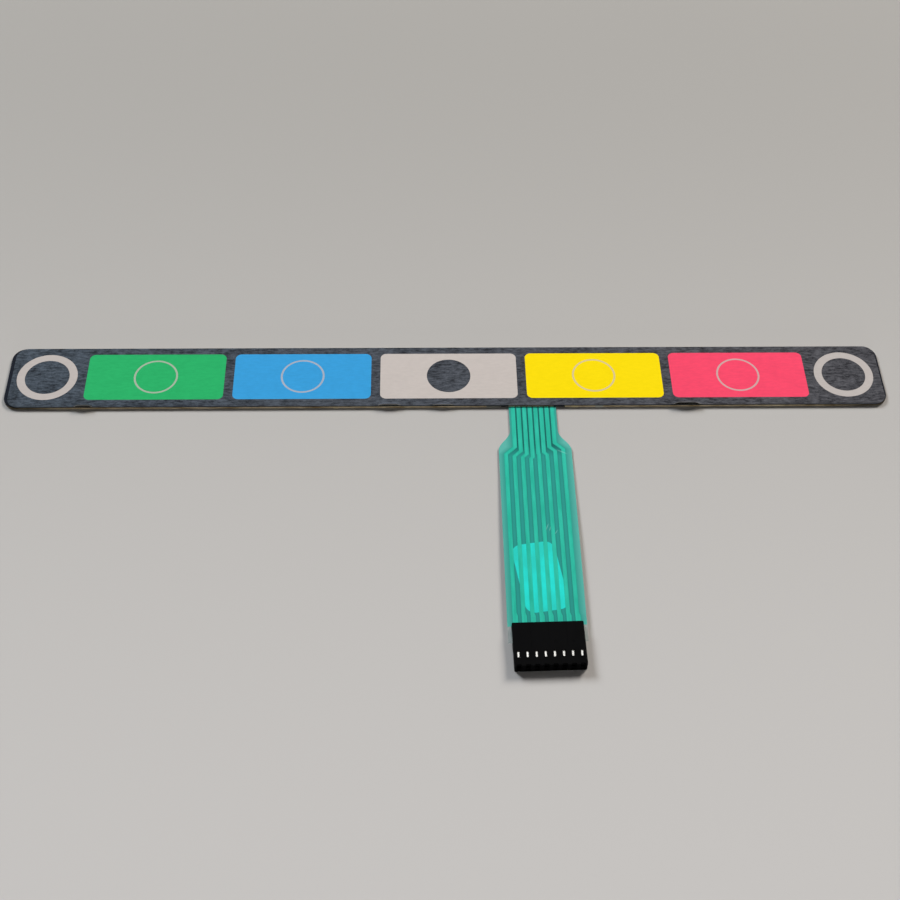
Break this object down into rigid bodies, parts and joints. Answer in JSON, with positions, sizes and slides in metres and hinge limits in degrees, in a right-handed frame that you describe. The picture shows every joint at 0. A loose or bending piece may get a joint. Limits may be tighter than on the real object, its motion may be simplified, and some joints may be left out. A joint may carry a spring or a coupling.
{
  "type": "membrane keypad",
  "caption": "Thin self-adhesive membrane keypad strip with coloured snap-dome keys, a flat printed tail and a crimped single-row connector.",
  "frame": {"origin": "middle of the strip's rear face, on the release liner", "axes": "+X along the strip, +Y to its back edge, away from the tail, +Z out of its printed face"},
  "size_m": [0.2806, 0.1213, 0.0032],
  "materials": {
    "face_film": "velvet-textured charcoal film",
    "print_green": "satin print",
    "print_blue": "satin print",
    "print_beige": "satin print",
    "print_yellow": "satin print",
    "print_red": "satin print",
    "print_line": "satin print",
    "spacer_black": "matt film",
    "bond": "tacky transfer adhesive",
    "bond_dark": "clear bond over black",
    "liner_paper": "brown release paper",
    "clear_film": "clear polyester film",
    "retainer_film": "frosted film",
    "silver_ink": "printed conductor, matt",
    "ink_green": "insulating print over bare film",
    "ink_green_bright": "insulating print over a conductor",
    "dome_steel": "spring steel",
    "label_paper": "blank label",
    "housing_black": "moulded, semi-gloss",
    "terminal_tin": "bright tin plate"
  },
  "bodies": {
    "root": {"release_liner": "liner_paper", "rear_adhesive": "bond", "circuit_film": "clear_film", "dielectric_print": "ink_green", "cover_print": "ink_green_bright", "dome_spacer": "spacer_black", "dome_retainer": "retainer_film", "overlay_adhesive": "bond_dark", "graphic_overlay": "face_film", "key_field_green": "print_green", "key_field_blue": "print_blue", "key_field_grey": "print_beige", "key_field_yellow": "print_yellow", "key_field_red": "print_red", "centre_disc": "face_film", "tail_label": "label_paper", "connector_housing": "housing_black", "conductor_1": "silver_ink", "terminal_1": "terminal_tin", "conductor_2": "silver_ink", "terminal_2": "terminal_tin", "conductor_3": "silver_ink", "terminal_3": "terminal_tin", "conductor_4": "silver_ink", "terminal_4": "terminal_tin", "conductor_5": "silver_ink", "terminal_5": "terminal_tin", "conductor_6": "silver_ink", "terminal_6": "terminal_tin", "conductor_7": "silver_ink", "terminal_7": "terminal_tin", "conductor_8": "silver_ink", "terminal_8": "terminal_tin", "dome_1": "dome_steel", "dome_2": "dome_steel", "dome_3": "dome_steel", "dome_4": "dome_steel", "dome_5": "dome_steel", "dome_6": "dome_steel", "dome_7": "dome_steel", "key_ring_green": "print_line", "key_ring_blue": "print_line", "key_ring_yellow": "print_line", "key_ring_red": "print_line", "end_ring_left": "print_line", "end_ring_right": "print_line"}
  },
  "joints": []
}
